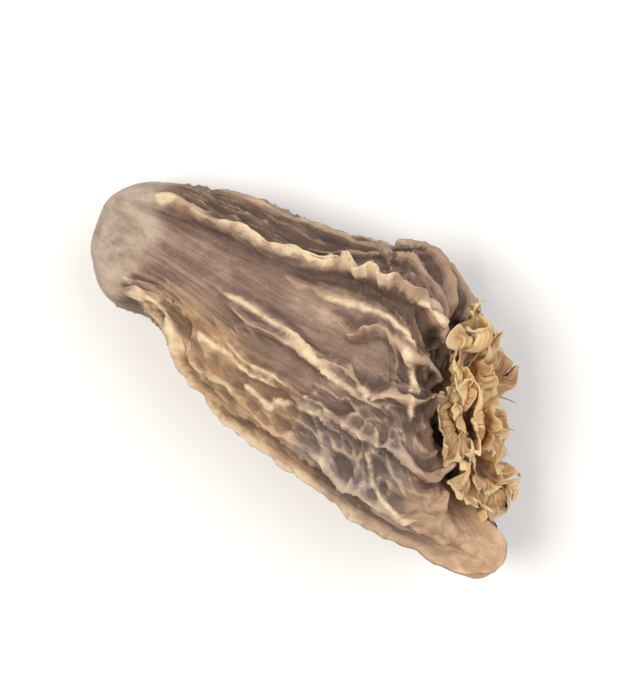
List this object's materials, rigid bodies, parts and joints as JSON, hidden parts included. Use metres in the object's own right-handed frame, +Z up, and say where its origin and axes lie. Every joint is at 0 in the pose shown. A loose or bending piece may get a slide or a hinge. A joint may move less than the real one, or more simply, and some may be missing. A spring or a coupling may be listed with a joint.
{
  "type": "black cardamom pod",
  "caption": "Dried black cardamom pod lying on its side, with wavy lengthwise ribs and a papery golden flower remnant on its wide end.",
  "frame": {"origin": "middle of the pod's outline seen from above, on the surface that it lies on", "axes": "+X along the pod from the narrow stem end to the wide flower end, +Z up"},
  "size_m": [0.0258, 0.014, 0.0123],
  "materials": {
    "husk": "dried leathery capsule skin, matt brown, with pale worn rib crests",
    "calyx": "dry papery flower remnant, golden brown, slightly glossy"
  },
  "bodies": {
    "root": {"husk": "husk", "calyx": "calyx"}
  },
  "joints": []
}
